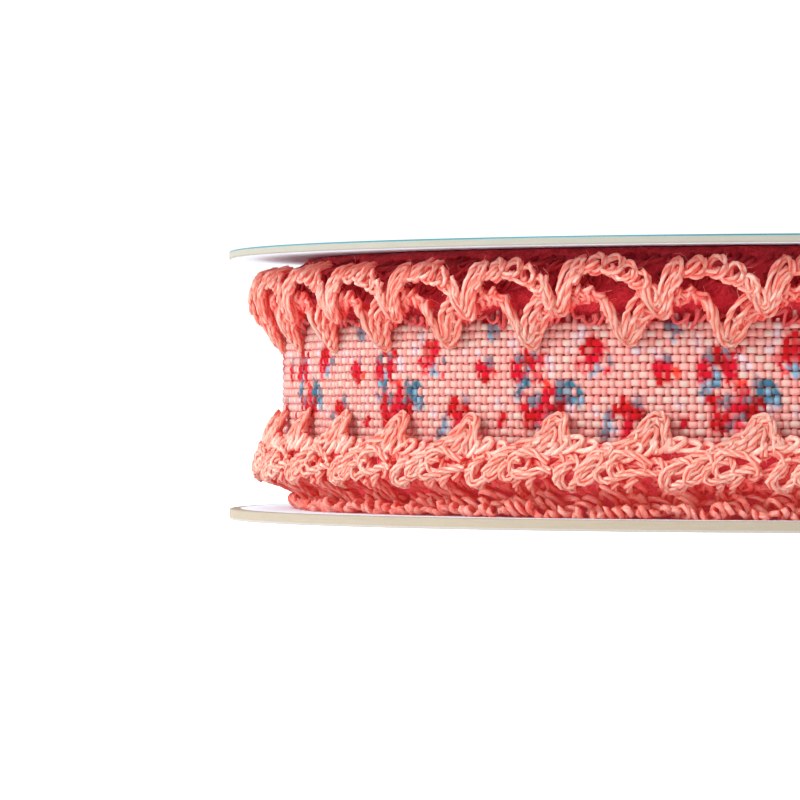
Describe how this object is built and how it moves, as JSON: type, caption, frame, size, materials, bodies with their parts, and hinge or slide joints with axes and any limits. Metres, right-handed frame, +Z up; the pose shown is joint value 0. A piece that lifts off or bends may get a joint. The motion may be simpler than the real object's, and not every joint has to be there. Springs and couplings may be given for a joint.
{
  "type": "crochet lace ribbon wound on a card spool",
  "caption": "Narrow woven tape with a scalloped crochet edging along both edges, wound on a flat round card spool that stands on its lower disc.",
  "frame": {"origin": "centre of the lower disc's underside, on the spool's axis, where the spool stands", "axes": "+Z up along the spool's axis, -Y towards the viewer of the picture, +X to the viewer's right"},
  "size_m": [0.12, 0.12, 0.0238],
  "materials": {
    "plain_card": "matte uncoated card",
    "printed_card": "satin printed card, pale board at the cut edge",
    "printed_tape": "matte plain weave with a small scattered flower print",
    "crochet_yarn": "soft matte cotton yarn"
  },
  "bodies": {
    "root": {"flange_lower": "plain_card", "flange_upper": "printed_card", "tape_roll": "printed_tape", "lace_upper": "crochet_yarn", "lace_lower": "crochet_yarn"}
  },
  "joints": []
}
